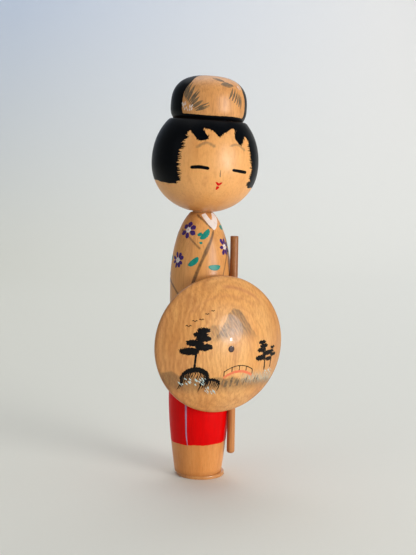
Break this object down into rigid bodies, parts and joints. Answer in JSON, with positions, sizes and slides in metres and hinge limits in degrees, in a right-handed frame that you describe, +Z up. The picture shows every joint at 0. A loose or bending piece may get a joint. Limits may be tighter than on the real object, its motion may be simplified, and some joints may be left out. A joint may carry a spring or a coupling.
{
  "type": "kokeshi doll with travelling hat",
  "caption": "Turned and painted wooden doll with a round head, hair bun, staff and a domed painted hat held in front.",
  "frame": {"origin": "on the body's spindle axis, at the flat underside of the foot disc where it rests on the table", "axes": "+Z up, -Y towards the front, where the hat faces, +X to the right of somebody who looks at the hat"},
  "size_m": [0.0816, 0.0721, 0.2419],
  "materials": {
    "varnished_wood": "amber varnished light hardwood, glossy",
    "hat_wood": "varnished light hardwood, glossy",
    "staff_wood": "brown stained dowel, satin",
    "bare_wood": "bare turned dowel",
    "peg_paint": "peg with a dark purple-brown painted end, glossy",
    "black_paint": "brushed black lacquer, glossy",
    "red_lacquer": "red lacquer, glossy",
    "motif_paint": "brushed opaque paint under varnish"
  },
  "bodies": {
    "stand": {"body": "varnished_wood", "foot_disc": "varnished_wood", "staff": "staff_wood"},
    "head": {"head": "varnished_wood", "bun": "varnished_wood", "bun_dowel": "bare_wood", "neck_dowel": "bare_wood"},
    "hat": {"hat": "hat_wood", "hat_peg": "peg_paint"}
  },
  "joints": [
    {"name": "head_turn", "type": "hinge", "parent": "stand", "child": "head", "pos_m": [0, 0, 0.1612], "axis": [0.0481, -0.0207, 0.9986], "continuous": true},
    {"name": "hat_turn", "type": "hinge", "parent": "stand", "child": "hat", "pos_m": [0.00244, -0.0213, 0.0844], "axis": [0, -1, 0], "continuous": true}
  ]
}
